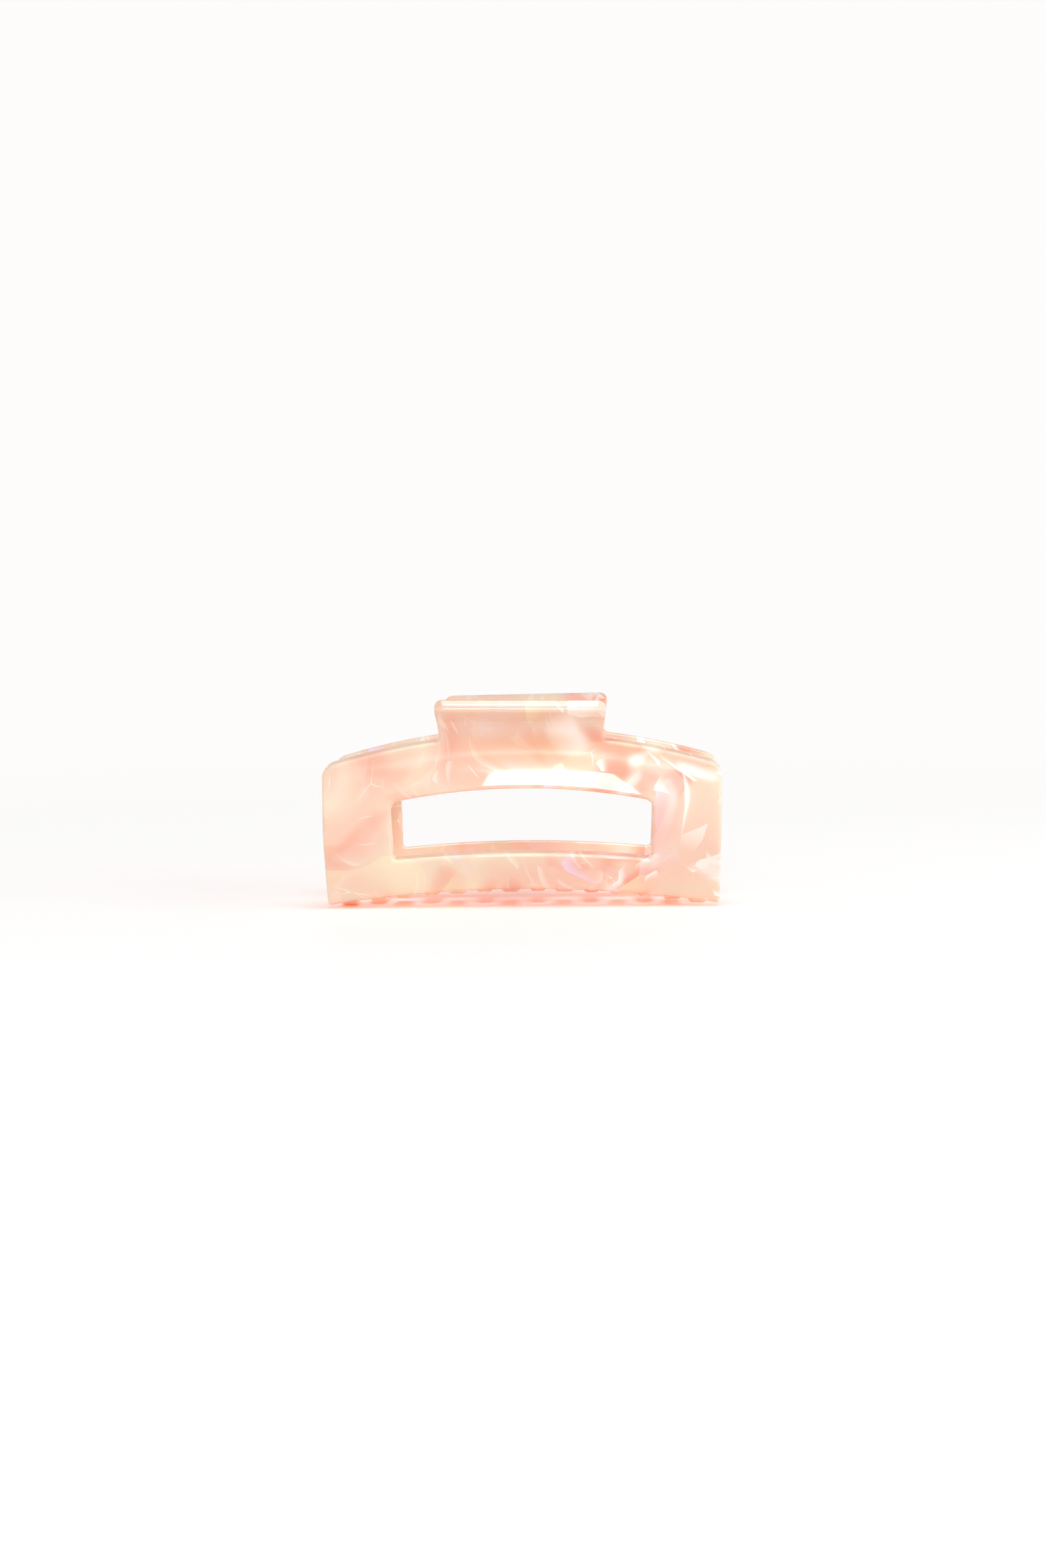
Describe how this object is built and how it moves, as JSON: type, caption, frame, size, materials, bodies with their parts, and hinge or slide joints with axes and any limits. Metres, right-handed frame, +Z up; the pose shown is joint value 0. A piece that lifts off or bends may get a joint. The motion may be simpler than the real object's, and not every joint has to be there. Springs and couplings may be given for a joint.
{
  "type": "claw clip",
  "caption": "Rectangular claw clip for hair: two bent marbled acetate jaws with windows, thumb grips and interlocking teeth on a sprung hinge.",
  "frame": {"origin": "on the surface that the clip stands on, below the middle of the hinge pin", "axes": "+X along the hinge pin, which is the clip's long way, +Y from the front jaw to the rear jaw, +Z up"},
  "size_m": [0.0898, 0.0434, 0.0473],
  "materials": {
    "marbled_acetate": "polished translucent pearl marble",
    "lug_acetate": "plain translucent acetate",
    "spring_steel": "bright drawn wire"
  },
  "bodies": {
    "front_half": {"front_jaw": "marbled_acetate", "front_lug_left": "lug_acetate", "front_lug_right": "lug_acetate", "hinge_pin": "spring_steel", "torsion_spring": "spring_steel"},
    "rear_half": {"rear_jaw": "marbled_acetate", "rear_lug_left": "lug_acetate", "rear_lug_right": "lug_acetate"}
  },
  "joints": [
    {"name": "jaw_hinge", "type": "hinge", "parent": "front_half", "child": "rear_half", "pos_m": [0, 0, 0.0345], "axis": [1, 0, 0], "range_deg": [0, 75], "stiffness_Nm_per_rad": 0.03, "springref_deg": -34.38, "deforming": ["torsion_spring"]}
  ]
}
